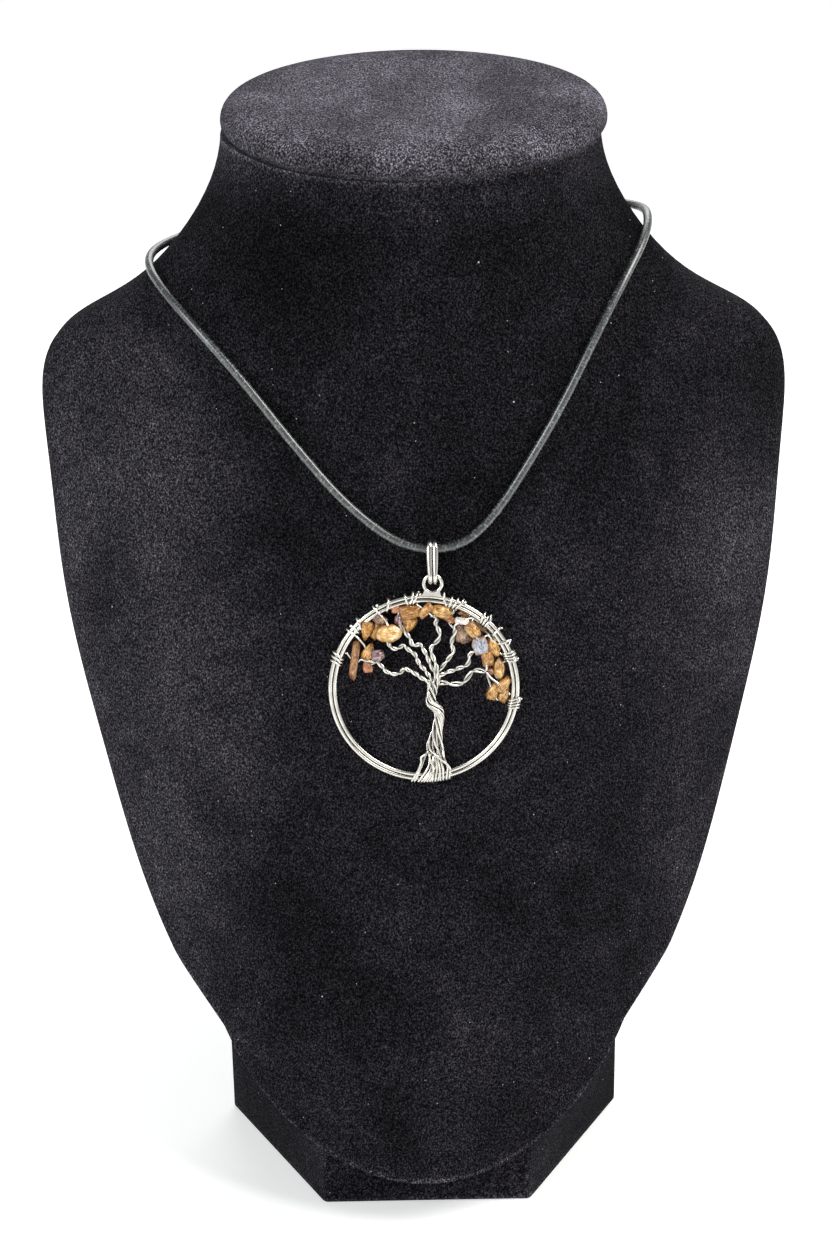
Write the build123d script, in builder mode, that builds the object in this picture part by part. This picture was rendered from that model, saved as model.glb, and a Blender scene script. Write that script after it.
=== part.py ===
from build123d import *
import math
import os

# Tree of life pendant on a cord, worn by a plain flocked neck bust.
# X is to the right, -Y is the front, Z is up. The origin is the middle of the base's underside.

# Base
base_side = 58.0
base_height = 25.0
base_corner = 2.0
base_rim = 1.0

# Neck bust
bust_width = 203.6
neck_width = 99.6
bust_depth = 120.0
bust_height = 306.0
bottom_radius = 61.0
bottom_turn = 66.0
flank_turn = 50.0
tip_height = 14.5
lip_thick = 8.0
seat_gap = 0.3

# Cap on the neck
cap_tilt = 13.0
cap_height = 293.5
cap_forward = 12.0
cap_depth = 86.0
cap_thick = 9.0
cap_overhang = 0.4
cap_top_rim = 3.6
cap_seam_rim = 1.5

# Cord and its clasp
cord_diameter = 2.3
clasp_length = 16.0
clasp_diameter = 4.4
clasp_collar = 0.35
clasp_collar_length = 3.0
nape = (0.0, 56.9, 266.5)

# Hoop of two round wires, with its eye
hoop_diameter = 50.0
hoop_wire = 1.125
hoop_groove = 0.05
eye_diameter = 5.66
eye_wire = 1.03
eye_turn = 5.4
foot_width = 5.8
foot_thick = 1.0
eye_rise = 0.05

# Bail
bail_height = 187.0
bail_side = 3.7
bail_length = 6.7
bail_lean = 22.0
bail_top_width = 3.4
bail_bottom_width = 2.3
bail_top_thick = 1.3
bail_bottom_thick = 1.6
bail_edge = 0.3
bail_groove = 0.25
cord_play = 0.3
eye_play = 0.55

# Tree of twisted wire and its wraps on the hoop
wire = 0.55
wrap_gap = 0.12
branch_wire = 1.15
root_wire = 0.95
hole_gap = 0.22
strand_bend = 0.4

# The tables of the tree and its chips hold shares of one radius, of which the hoop's inside
# is this share
inside_share = 0.912

# Clearance between what lies on the chest and the chest
rest_gap = 0.4

# Chest and shoulders, from below. Heights are shares of bust_height, widths of bust_width,
# and the rest of bust_depth, with the front minus.
# height, width, front, front corner, back corner, back, corner radius
CHEST = [
    (0.013, 0.393, -0.546, -0.383, -0.283, 0.250, 0.042),
    (0.150, 0.576, -0.483, -0.300, -0.183, 0.317, 0.050),
    (0.248, 0.731, -0.433, -0.183, -0.050, 0.350, 0.058),
    (0.346, 0.835, -0.383, -0.083, 0.050, 0.375, 0.058),
    (0.458, 0.923, -0.325, 0.000, 0.133, 0.392, 0.058),
    (0.572, 0.978, -0.267, 0.050, 0.183, 0.408, 0.058),
    (0.686, 1.000, -0.213, 0.083, 0.217, 0.425, 0.058),
    (0.745, 0.990, -0.188, 0.100, 0.233, 0.425, 0.058),
    (0.778, 0.921, -0.180, 0.100, 0.233, 0.425, 0.058),
    (0.807, 0.770, -0.180, 0.092, 0.225, 0.433, 0.067),
    (0.840, 0.650, -0.190, 0.083, 0.208, 0.442, 0.083),
]

# Neck, with widths as shares of neck_width and the other columns as above
NECK = [
    (0.876, 1.157, -0.208, 0.075, 0.192, 0.450, 0.117),
    (0.915, 1.036, -0.229, 0.067, 0.167, 0.454, 0.150),
    (0.954, 0.996, -0.250, 0.050, 0.167, 0.458, 0.167),
    (1.000, 1.000, -0.275, 0.042, 0.167, 0.458, 0.167),
]


def chest_front(height):
    """Y of the chest's middle line at a height, straight between the rows of CHEST."""
    for below, above in zip(CHEST, CHEST[1:]):
        low, high = below[0] * bust_height, above[0] * bust_height
        if height <= high:
            share = (height - low) / (high - low)
            return bust_depth * (below[2] + share * (above[2] - below[2]))
    return bust_depth * CHEST[-1][2]


def corner_radii(points, largest=1000.0):
    """A radius for each corner of a route, as large as its two runs allow."""
    radii = []
    for before, here, after in zip(points, points[1:], points[2:]):
        run_in = Vector(here) - Vector(before)
        run_out = Vector(after) - Vector(here)
        half_turn = math.radians(run_in.get_angle(run_out)) / 2
        shorter = min(run_in.length, run_out.length)
        radii.append(min(0.45 * shorter / math.tan(half_turn), largest))
    return radii


# Slanted plane through the middle of the cap
cap_slant = math.radians(cap_tilt)
cap_plane = Plane(
    origin=(0, cap_forward, cap_height),
    x_dir=(1, 0, 0),
    z_dir=(0, -math.sin(cap_slant), math.cos(cap_slant)),
)
cap_seat = cap_plane.offset(-cap_thick / 2)
cap_axis = Axis(cap_plane.origin, cap_plane.z_dir)

with BuildPart() as base:
    with BuildSketch():
        RegularPolygon(base_side, 6)
    extrude(amount=base_height)
    fillet(base.edges().filter_by(Axis.Z), base_corner)
    fillet(base.edges().group_by(Axis.Z)[-1], base_rim)
    fillet(base.edges().group_by(Axis.Z)[0], base_rim)

with BuildPart() as bust_form:
    # chest, shoulders and neck
    for rows, full_width in ((CHEST, bust_width), (NECK, neck_width)):
        for height, width, front, front_corner, back_corner, back, corner in rows:
            half = width * full_width / 2
            y_front, y_front_corner = front * bust_depth, front_corner * bust_depth
            y_back, y_back_corner = back * bust_depth, back_corner * bust_depth
            with BuildSketch(Plane.XY.offset(height * bust_height)):
                with BuildLine():
                    ThreePointArc((-half, y_front_corner), (0, y_front), (half, y_front_corner))
                    Line((half, y_front_corner), (half, y_back_corner))
                    ThreePointArc((half, y_back_corner), (0, y_back), (-half, y_back_corner))
                    Line((-half, y_back_corner), (-half, y_front_corner))
                section = make_face()
                fillet(section.vertices(), corner * bust_depth)
    loft()

    # the round bottom, seen from the front
    turn = math.radians(bottom_turn)
    side_x = bottom_radius * math.sin(turn)
    side_z = tip_height + bottom_radius * (1 - math.cos(turn))
    top_x = side_x + bust_height / math.tan(math.radians(flank_turn))
    top_z = side_z + bust_height
    with BuildSketch(Plane.XZ):
        with BuildLine():
            ThreePointArc((-side_x, side_z), (0, tip_height), (side_x, side_z))
            Polyline((side_x, side_z), (top_x, top_z), (-top_x, top_z), (-side_x, side_z))
        make_face()
    extrude(amount=bust_depth, both=True, mode=Mode.INTERSECT)

    # the slanted top of the neck, on which the cap sits
    with BuildSketch(cap_seat):
        Rectangle(2 * bust_width, 2 * bust_width)
    extrude(amount=bust_height, mode=Mode.SUBTRACT)

    # only the front lip hangs below the top of the base
    lip_half = CHEST[0][1] * bust_width / 2
    lip_middle = CHEST[0][2] * bust_depth + lip_thick
    lip_side = CHEST[0][3] * bust_depth + lip_thick
    with BuildSketch():
        with BuildLine():
            ThreePointArc((-lip_half, lip_side), (0, lip_middle), (lip_half, lip_side))
            Polyline(
                (lip_half, lip_side),
                (bust_width, lip_side),
                (bust_width, bust_depth),
                (-bust_width, bust_depth),
                (-bust_width, lip_side),
                (-lip_half, lip_side),
            )
        make_face()
        RegularPolygon(base_side + seat_gap * 2 / math.sqrt(3), 6)
    extrude(amount=base_height, mode=Mode.SUBTRACT)

with BuildPart() as neck_cap:
    with BuildSketch(cap_seat):
        Ellipse(neck_width / 2 + cap_overhang, cap_depth / 2)
    extrude(amount=cap_thick)
    fillet(neck_cap.edges().group_by(cap_axis)[-1], cap_top_rim)
    fillet(neck_cap.edges().group_by(cap_axis)[0], cap_seam_rim)

# Bail: its top goes round the cord, its foot round the top of the eye
bail_top_inner = cord_diameter / 2 + cord_play
bail_foot_inner = eye_wire / 2 + eye_play
bail_top_outer = bail_top_inner + bail_top_thick
bail_foot_outer = bail_foot_inner + bail_bottom_thick
chest_slope = chest_front(bail_height) - chest_front(bail_height - hoop_diameter)
chest_lean = math.degrees(math.atan(chest_slope / hoop_diameter))
bail_stand_off = (bail_top_outer + rest_gap) / math.cos(math.radians(chest_lean))
bail_top = Vector(bail_side, chest_front(bail_height) - bail_stand_off, bail_height)
hang = Vector(0, -math.sin(math.radians(bail_lean)), -math.cos(math.radians(bail_lean)))
bail_foot = bail_top + hang * bail_length
bail_up = -hang
bail_side_view = Plane(origin=bail_top, x_dir=bail_up, z_dir=(1, 0, 0))
bail_front_view = Plane(origin=bail_top, x_dir=(1, 0, 0), z_dir=Vector(1, 0, 0).cross(bail_up))


def bail_loop(top_radius, foot_radius):
    """The bail's outline from the side, round the cord at its top and the eye at its foot."""
    with BuildSketch() as outline:
        Circle(top_radius)
        with Locations((-bail_length, 0)):
            Circle(foot_radius)
        make_hull()
    return outline.sketch


with BuildPart() as bail:
    with BuildSketch(bail_side_view):
        add(bail_loop(bail_top_outer, bail_foot_outer))
        add(bail_loop(bail_top_inner, bail_foot_inner), mode=Mode.SUBTRACT)
    extrude(amount=bail_top_width / 2, both=True)
    bail_low = -bail_length - bail_foot_outer
    with BuildSketch(bail_front_view):
        with BuildLine():
            Polyline(
                (-bail_top_width / 2, bail_top_outer),
                (bail_top_width / 2, bail_top_outer),
                (bail_bottom_width / 2, bail_low),
                (-bail_bottom_width / 2, bail_low),
                close=True,
            )
        make_face()
    extrude(amount=bail_length, both=True, mode=Mode.INTERSECT)
    fillet(bail.faces().sort_by(Axis.X)[0].edges(), bail_edge)
    fillet(bail.faces().sort_by(Axis.X)[-1].edges(), bail_edge)
    # the groove between its two wires
    with BuildSketch(bail_side_view):
        add(bail_loop(bail_top_outer + bail_groove, bail_foot_outer + bail_groove))
        add(bail_loop(bail_top_outer - bail_groove, bail_foot_outer - bail_groove), mode=Mode.SUBTRACT)
    extrude(amount=bail_groove / 2, both=True, mode=Mode.SUBTRACT)

# Cord, a whole loop from one end of the clasp to the other. The run through the bail is level.
bail_run = Vector(7, 0, -0.05)
CORD_LEFT = [
    (-14, 56.9, 266.5),
    (-24, 54.6, 266.2),
    (-36, 50, 265),
    (-49.5, 41.8, 262.8),
    (-60.6, 31.5, 261),
    (-67.6, 18.8, 260),
    (-69.2, 7, 256.9),
    (-64.4, -4, 250.6),
    (-55.9, -13.2, 241.8),
    (-44.5, -19.5, 229.7),
    (-30.5, -24.9, 211.7),
    (-17.5, -29, 197),
]
CORD_RIGHT = [
    (19.8, -29.2, 194.1),
    (28.9, -25.1, 207),
    (38, -22, 222),
    (47, -16.5, 239),
    (55, -8.5, 252.5),
    (60.8, 2, 262.3),
    (61.8, 12.5, 269),
    (59.4, 23.5, 271),
    (52.5, 33.8, 270.5),
    (42, 43, 269.5),
    (31.5, 50.8, 268.2),
    (22.5, 55.2, 267.2),
    (14, 56.9, 266.5),
]
clasp_half = Vector(clasp_length / 2, 0, 0)
cord_route = [Vector(nape) - clasp_half, *CORD_LEFT, bail_top - bail_run, bail_top + bail_run]
cord_route += [*CORD_RIGHT, Vector(nape) + clasp_half]


def tube(points, diameter, largest=1000.0):
    """A round tube along straight runs joined by tangent arcs."""
    with BuildPart() as piece:
        with BuildLine() as route:
            FilletPolyline(*points, radius=corner_radii(points, largest))
        with BuildSketch(Plane(origin=route.line @ 0, z_dir=route.line % 0)):
            Circle(diameter / 2)
        sweep(path=route.line)
    return piece.part


with BuildPart() as cord:
    add(tube(cord_route, cord_diameter))

with BuildPart() as clasp:
    with BuildSketch(Plane(origin=Vector(nape) - clasp_half, z_dir=(1, 0, 0))):
        Circle(clasp_diameter / 2)
    extrude(amount=clasp_length)
    for end, way in ((-clasp_half, 1), (clasp_half, -1)):
        with BuildSketch(Plane(origin=Vector(nape) + end, z_dir=(way, 0, 0))):
            Circle(clasp_diameter / 2 + clasp_collar)
        extrude(amount=clasp_collar_length)
    collar_edges = clasp.edges().filter_by(GeomType.CIRCLE).group_by(SortBy.RADIUS)[-1]
    fillet(collar_edges, clasp_collar * 0.7)

# Pendant: its own plane hangs from the bail's foot and rests near the chest at its lowest wrap
hoop_radius = hoop_diameter / 2
eye_reach = hoop_radius + eye_diameter / 2 + eye_rise
eye_ring = (eye_diameter - eye_wire) / 2
eye_angle = math.radians(eye_turn)
hang_height = eye_reach * math.cos(eye_angle) + eye_ring
foot_stand_off = (chest_front(bail_foot.Z) - bail_foot.Y) * math.cos(math.radians(chest_lean))
wrap_stand_off = hoop_wire / 2 + wrap_gap + wire + rest_gap
lift = math.degrees(math.asin((foot_stand_off - wrap_stand_off) / (hang_height + hoop_radius)))
pendant_lean = math.radians(chest_lean - lift)
pendant_up = Vector(0, math.sin(pendant_lean), math.cos(pendant_lean))
pendant_out = Vector(0, -math.cos(pendant_lean), math.sin(pendant_lean))
pendant_middle = bail_foot - pendant_up * hang_height - Vector(eye_reach * math.sin(eye_angle), 0, 0)
pendant_plane = Plane(origin=pendant_middle, x_dir=(1, 0, 0), z_dir=pendant_out)
pendant_axis = Axis(pendant_middle, pendant_out)


def round_hoop(angle):
    """The plane that cuts the hoop square across, at an angle from its right side."""
    turn = math.radians(angle)
    radial = pendant_plane.x_dir * math.cos(turn) + pendant_plane.y_dir * math.sin(turn)
    along = pendant_plane.y_dir * math.cos(turn) - pendant_plane.x_dir * math.sin(turn)
    return Plane(origin=pendant_middle, x_dir=radial, z_dir=along)


# The two wires of the hoop lie side by side in its plane
outer_wire = hoop_radius - hoop_wire / 2
inner_wire = outer_wire - hoop_wire + hoop_groove
hoop_middle = (outer_wire + inner_wire) / 2
hoop_inside = inner_wire - hoop_wire / 2
tree_radius = hoop_inside / inside_share
wrap_middle = hoop_inside - wrap_gap - wire / 2
eye_plane = Plane(
    origin=pendant_middle,
    x_dir=pendant_plane.x_dir * math.cos(eye_angle) - pendant_plane.y_dir * math.sin(eye_angle),
    z_dir=pendant_out,
)
eye_middle = eye_plane.from_local_coords(Vector(0, eye_reach, 0))
foot_neck = eye_ring - eye_wire / 4

with BuildPart() as hoop:
    with BuildSketch(round_hoop(0)):
        with Locations((outer_wire, 0), (inner_wire, 0)):
            Circle(hoop_wire / 2)
    revolve(axis=pendant_axis)
    with BuildSketch(Plane(origin=eye_middle, x_dir=eye_plane.y_dir, z_dir=eye_plane.x_dir)):
        with Locations((eye_ring, 0)):
            Circle(eye_wire / 2)
    revolve(axis=Axis(eye_middle, pendant_out))
    with BuildSketch(eye_plane):
        with BuildLine():
            sole = outer_wire
            neck = eye_reach - eye_ring / 2
            waist = (foot_neck + foot_width / 2) / 2 - eye_wire / 3
            ThreePointArc((foot_width / 2, sole), (waist, (sole + neck) / 2), (foot_neck, neck))
            Line((foot_neck, neck), (-foot_neck, neck))
            ThreePointArc((-foot_neck, neck), (-waist, (sole + neck) / 2), (-foot_width / 2, sole))
            Line((-foot_width / 2, sole), (foot_width / 2, sole))
        make_face()
        with Locations((0, eye_reach)):
            Circle(eye_ring, mode=Mode.SUBTRACT)
    extrude(amount=foot_thick / 2, both=True)


def at(across, up, out=0.0):
    """A place on the pendant, with each length a share of the tree's radius."""
    return pendant_plane.from_local_coords(Vector(across, up, out) * tree_radius)


def on_hoop(angle):
    """The middle of the wire of a wrap, just inside the hoop, at an angle from its right side."""
    turn = math.radians(angle)
    return pendant_plane.from_local_coords(Vector(math.cos(turn), math.sin(turn), 0) * wrap_middle)


# Trunk, from the roots up: height, sideways, width and thickness
TRUNK = [
    (-0.66, 0.10, 0.19, 0.10),
    (-0.56, 0.10, 0.16, 0.11),
    (-0.46, 0.13, 0.12, 0.11),
    (-0.38, 0.14, 0.115, 0.11),
    (-0.29, 0.15, 0.11, 0.11),
    (-0.23, 0.12, 0.13, 0.11),
    (-0.18, 0.09, 0.14, 0.11),
    (-0.12, 0.07, 0.12, 0.11),
    (-0.03, 0.08, 0.12, 0.11),
    (0.04, 0.08, 0.13, 0.10),
    (0.12, 0.10, 0.12, 0.08),
]

# The seven branches, as places on the pendant
BRANCHES = [
    [(0.09, -0.06, 0.02), (0.04, 0.05, 0.02), (-0.04, 0.12, 0.02), (-0.11, 0.17, 0.02), (-0.20, 0.22, 0.01),
     (-0.25, 0.16, 0), (-0.32, 0.16, 0), (-0.39, 0.19, 0), (-0.43, 0.25, 0), (-0.49, 0.27, 0)],
    [(0.10, -0.04, 0), (0.07, 0.09, 0), (0.00, 0.20, 0.01), (-0.07, 0.31, 0.01), (-0.12, 0.39, 0.01),
     (-0.19, 0.45, 0), (-0.29, 0.42, 0), (-0.34, 0.44, 0), (-0.36, 0.48, 0)],
    [(0.11, -0.02, -0.01), (0.10, 0.15, 0), (0.06, 0.33, 0.01), (0.01, 0.44, 0.01), (-0.05, 0.47, 0),
     (-0.11, 0.45, 0), (-0.15, 0.53, 0), (-0.18, 0.60, 0), (-0.215, 0.645, 0)],
    [(0.11, 0.00, 0.02), (0.13, 0.20, 0.02), (0.10, 0.35, 0.01), (0.08, 0.43, 0), (0.15, 0.50, 0),
     (0.18, 0.57, 0), (0.14, 0.64, 0), (0.145, 0.705, 0)],
    [(0.11, 0.02, -0.01), (0.18, 0.22, -0.01), (0.25, 0.32, 0), (0.32, 0.40, 0), (0.30, 0.48, 0),
     (0.32, 0.57, 0), (0.335, 0.63, 0)],
    [(0.10, 0.03, 0.01), (0.19, 0.13, 0.01), (0.27, 0.17, 0), (0.39, 0.22, 0), (0.48, 0.27, 0),
     (0.47, 0.32, 0), (0.51, 0.355, 0)],
    [(0.10, 0.01, 0), (0.17, 0.06, 0), (0.28, 0.04, 0), (0.38, 0.04, 0), (0.45, 0.07, 0),
     (0.49, 0.14, 0), (0.56, 0.17, 0), (0.62, 0.155, 0)],
]

# Roots: sideways at the trunk and halfway, how far that middle stands out, and angle on the hoop
ROOTS = [
    (0.05, -0.05, 0.01, -96),
    (0.06, 0.00, 0.02, -93),
    (0.08, 0.04, 0.03, -89),
    (0.10, 0.08, 0.03, -86),
    (0.11, 0.12, 0.03, -83),
    (0.12, 0.15, 0.03, -80),
    (0.13, 0.18, 0.02, -77),
    (0.14, 0.21, 0.01, -74),
]
ROOT_TOP = -0.58
ROOT_HALFWAY = -0.76

# Wraps on the hoop: angle of the middle, and how far round they reach
WRAPS = [
    (159.3, 5.2),
    (137.5, 5.0),
    (118.5, 2.6),
    (111.8, 1.6),
    (97.0, 8.0),
    (70.5, 9.0),
    (49.5, 7.0),
    (36.5, 1.4),
    (27.8, 1.4),
    (17.5, 7.0),
    (-12.6, 6.0),
    (-87.5, 25.0),
]

# Stone chips: place, then length, width, thickness and turn
CHIPS = {
    "chip_01": (-0.71, 0.32, 0.00, 0.36, 0.09, 0.09, 80),
    "chip_02": (-0.58, 0.26, 0.00, 0.11, 0.10, 0.08, 20),
    "chip_03": (-0.57, 0.41, 0.00, 0.15, 0.11, 0.08, 70),
    "chip_04": (-0.46, 0.39, 0.00, 0.11, 0.10, 0.09, 0),
    "chip_05": (-0.57, 0.58, 0.00, 0.18, 0.10, 0.08, 75),
    "chip_06": (-0.462, 0.58, -0.02, 0.17, 0.06, 0.06, 58),
    "chip_07": (-0.40, 0.703, 0.02, 0.11, 0.09, 0.07, -30),
    "chip_08": (-0.335, 0.59, 0.06, 0.23, 0.14, 0.10, 8),
    "chip_09": (-0.257, 0.797, 0.00, 0.08, 0.07, 0.07, 20),
    "chip_10": (-0.243, 0.706, 0.00, 0.08, 0.07, 0.07, 80),
    "chip_11": (-0.12, 0.785, 0.02, 0.20, 0.12, 0.10, 5),
    "chip_12": (-0.105, 0.655, 0.00, 0.14, 0.12, 0.09, 30),
    "chip_13": (0.045, 0.79, 0.03, 0.17, 0.08, 0.07, 42),
    "chip_14": (0.21, 0.77, 0.03, 0.20, 0.11, 0.08, -15),
    "chip_15": (0.29, 0.69, -0.03, 0.08, 0.06, 0.06, 0),
    "chip_16": (0.40, 0.71, 0.05, 0.12, 0.06, 0.06, -8),
    "chip_17": (0.415, 0.565, -0.02, 0.19, 0.13, 0.09, 80),
    "chip_18": (0.43, 0.72, -0.035, 0.10, 0.07, 0.06, -30),
    "chip_19": (0.53, 0.585, 0.04, 0.13, 0.11, 0.08, 70),
    "chip_20": (0.55, 0.61, -0.05, 0.075, 0.07, 0.06, 140),
    "chip_21": (0.60, 0.44, 0.02, 0.19, 0.14, 0.10, -60),
    "chip_22": (0.705, 0.425, -0.02, 0.17, 0.08, 0.07, -62),
    "chip_23": (0.67, 0.30, 0.02, 0.14, 0.10, 0.08, -60),
    "chip_24": (0.785, 0.18, 0.01, 0.19, 0.10, 0.08, 85),
    "chip_25": (0.695, 0.205, -0.01, 0.08, 0.07, 0.06, 0),
    "chip_26": (0.805, 0.02, 0.03, 0.14, 0.08, 0.07, 40),
    "chip_27": (0.70, -0.08, 0.00, 0.15, 0.11, 0.08, 70),
    "chip_28": (0.815, -0.10, -0.01, 0.13, 0.10, 0.08, 60),
}

# Strands: where each leaves its branch, the chips on it, and the angle where it meets the hoop
STRANDS = [
    ((-0.48, 0.27, 0), ("chip_02", "chip_01"), 159.3),
    ((-0.35, 0.44, 0), ("chip_04", "chip_03"), 139.0),
    ((-0.36, 0.47, -0.02), ("chip_06", "chip_05"), 136.5),
    ((-0.36, 0.47, 0.01), ("chip_08", "chip_07"), 118.5),
    ((-0.21, 0.64, 0), ("chip_10", "chip_09"), 111.8),
    ((-0.18, 0.60, 0), ("chip_12", "chip_11"), 99.5),
    ((0.145, 0.70, 0), ("chip_13",), 94.0),
    ((0.15, 0.70, 0), ("chip_14",), 73.5),
    ((0.33, 0.62, 0), ("chip_15",), 67.0),
    ((0.335, 0.62, 0.01), ("chip_16",), 67.5),
    ((0.32, 0.57, -0.01), ("chip_17", "chip_18"), 66.5),
    ((0.50, 0.35, 0), ("chip_21", "chip_19"), 48.0),
    ((0.48, 0.27, 0), ("chip_23",), 19.5),
    ((0.56, 0.17, 0), ("chip_25", "chip_24"), 15.5),
    ((0.61, 0.155, 0), ("chip_26", "chip_28"), -10.5),
    ((0.56, 0.17, 0), ("chip_27",), -15.2),
]

# Strands that start on the hoop: that angle, the chips, and the angles where they meet it again
HOOP_STRANDS = [
    (46.5, ("chip_20",), (52.5,)),
    (36.5, ("chip_22",), (27.8, 20.5)),
]
HOLE_STRAIGHT = 1.1
CHIP_SIDES = 7
CHIP_BACK = 0.62
CHIP_TABLE = 0.55
CHIP_UNEVEN = 0.12


def strand_route(first, names, last):
    """A strand's points, with a straight stretch through each of its chips, and those stretches."""
    stops = [first] + [at(*CHIPS[name][:3]) for name in names] + [last]
    points = [first]
    holes = {}
    for name, before, here, after in zip(names, stops, stops[1:], stops[2:]):
        along = (after - before).normalized()
        length, width, turned = CHIPS[name][3] / 2, CHIPS[name][4] / 2, math.radians(CHIPS[name][6])
        slant = math.atan2(along.dot(pendant_plane.y_dir), along.dot(pendant_plane.x_dir)) - turned
        reach = tree_radius / math.hypot(math.cos(slant) / length, math.sin(slant) / width)
        points += [here - along * HOLE_STRAIGHT * reach, here + along * HOLE_STRAIGHT * reach]
        holes[name] = along
    return points + [last], holes


hole_directions = {}
strands = []
routes = [strand_route(at(*start), names, on_hoop(angle)) for start, names, angle in STRANDS]
for start, names, ends in HOOP_STRANDS:
    points, holes = strand_route(on_hoop(start), names, on_hoop(ends[0]))
    routes.append((points + [on_hoop(angle) for angle in ends[1:]], holes))
for points, holes in routes:
    hole_directions.update(holes)
    strands.append(tube(points, wire, strand_bend))

with BuildPart() as tree_wires:
    for height, across, width, thick in TRUNK:
        with BuildSketch(Plane(origin=at(across, height), x_dir=(1, 0, 0), z_dir=pendant_up)):
            Ellipse(width * tree_radius / 2, thick * tree_radius / 2)
    loft()
    branches = [tube([at(*place) for place in places], branch_wire) for places in BRANCHES]
    roots = []
    for top, middle, out, angle in ROOTS:
        roots.append(tube([at(top, ROOT_TOP), at(middle, ROOT_HALFWAY, out), on_hoop(angle)], root_wire))
    add(branches + roots + strands)
    # each wrap is a sleeve of wire that clears the hoop
    hoop_width = 2 * (hoop_radius - hoop_middle)
    inside = hoop_wire + 2 * wrap_gap
    outside = inside + 2 * wire
    for angle, reach in WRAPS:
        with BuildSketch(round_hoop(angle - reach / 2)):
            with Locations((hoop_middle, 0)):
                SlotOverall(hoop_width + 2 * wrap_gap + 2 * wire, outside)
                SlotOverall(hoop_width + 2 * wrap_gap, inside, mode=Mode.SUBTRACT)
        revolve(axis=pendant_axis, revolution_arc=reach)


def chip(name, kind):
    """A drilled stone chip: a small back, a wide girdle and a flat table on top."""
    across, up, out, length, width, thick, turned = CHIPS[name]
    lean = math.radians(turned)
    facing = Plane(
        origin=at(across, up, out),
        x_dir=pendant_plane.x_dir * math.cos(lean) + pendant_plane.y_dir * math.sin(lean),
        z_dir=pendant_out,
    )
    half_length, half_width = length * tree_radius / 2, width * tree_radius / 2
    depth = thick * tree_radius
    corners = []
    for i in range(CHIP_SIDES):
        angle = 2 * math.pi * (i + 0.3 * math.sin(kind + i)) / CHIP_SIDES
        reach = 1 - CHIP_UNEVEN * (1 + math.sin(2.1 * kind + 2.7 * i)) / 2
        corners.append((half_length * reach * math.cos(angle), half_width * reach * math.sin(angle)))
    with BuildPart() as stone:
        for level, size in ((-0.5, CHIP_BACK), (-0.1, 1.0), (0.15, 0.98), (0.5, CHIP_TABLE)):
            with BuildSketch(facing.offset(level * depth)):
                Polygon(*[(x * size, y * size) for x, y in corners], align=None)
        loft(ruled=True)
        with BuildSketch(Plane(origin=facing.origin, z_dir=hole_directions[name])):
            Circle(wire / 2 + hole_gap)
        extrude(amount=half_length + half_width, both=True, mode=Mode.SUBTRACT)
    return stone.part


stones = {name: chip(name, kind) for kind, name in enumerate(CHIPS)}

cord_radii = corner_radii(cord_route)
print("cord radii", [round(radius, 1) for radius in cord_radii])
print("cord volume over section", cord.part.volume / (math.pi * cord_diameter ** 2 / 4))
print("cord and clasp", cord.part.volume / (math.pi * cord_diameter ** 2 / 4) + clasp_length)

pieces = {
    "base": base.part,
    "bust_form": bust_form.part,
    "neck_cap": neck_cap.part,
    "cord": cord.part,
    "clasp": clasp.part,
    "bail": bail.part,
    "hoop": hoop.part,
    "tree_wires": tree_wires.part,
    **stones,
}
os.makedirs("parts", exist_ok=True)
for name, piece in pieces.items():
    piece.label = name
    export_step(piece, f"parts/{name}.step")
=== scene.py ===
import math
import random

import bmesh
import bpy
import numpy as np
from mathutils import Matrix, Vector, noise


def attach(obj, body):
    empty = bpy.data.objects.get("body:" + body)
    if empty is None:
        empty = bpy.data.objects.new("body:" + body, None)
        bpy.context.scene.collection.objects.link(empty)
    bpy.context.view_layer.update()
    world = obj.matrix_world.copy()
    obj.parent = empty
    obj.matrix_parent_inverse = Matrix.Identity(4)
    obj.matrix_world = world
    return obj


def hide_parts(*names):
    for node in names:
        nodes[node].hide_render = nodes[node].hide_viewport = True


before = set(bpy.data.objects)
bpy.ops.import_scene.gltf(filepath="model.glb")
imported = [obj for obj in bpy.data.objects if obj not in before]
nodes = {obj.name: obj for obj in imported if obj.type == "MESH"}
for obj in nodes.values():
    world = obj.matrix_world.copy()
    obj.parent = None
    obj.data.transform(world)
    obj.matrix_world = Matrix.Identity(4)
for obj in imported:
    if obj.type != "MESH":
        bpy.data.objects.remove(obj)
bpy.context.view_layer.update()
MM = 0.001

# camera: the picture's height and its focal length in pixels, then where it stands and how it is turned
PICTURE_HEIGHT = 1248.0
FOCAL_LENGTH = 2061.0
SENSOR_HEIGHT = 36.0
CAMERA_PLACE = Vector((-4.46, -541.1, 348.9))
PITCH, YAW, ROLL = math.radians(19.75), math.radians(0.42), math.radians(-0.82)

cam_data = bpy.data.cameras.new("camera")
cam_data.sensor_fit = "VERTICAL"
cam_data.sensor_height = SENSOR_HEIGHT
cam_data.lens = FOCAL_LENGTH / PICTURE_HEIGHT * SENSOR_HEIGHT
cam_data.clip_start = 0.01
cam_data.clip_end = 200.0
camera = bpy.data.objects.new("camera", cam_data)
bpy.context.scene.collection.objects.link(camera)
bpy.context.scene.camera = camera
forward = Vector((math.sin(YAW) * math.cos(PITCH), math.cos(YAW) * math.cos(PITCH), -math.sin(PITCH)))
flat_right = Vector((math.cos(YAW), -math.sin(YAW), 0.0))
flat_up = flat_right.cross(forward)
cam_right = flat_right * math.cos(ROLL) + flat_up * math.sin(ROLL)
cam_up = flat_up * math.cos(ROLL) - flat_right * math.sin(ROLL)
cam_turn = Matrix((cam_right, cam_up, -forward)).transposed().to_4x4()
camera.matrix_world = Matrix.Translation(CAMERA_PLACE * MM) @ cam_turn


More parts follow.
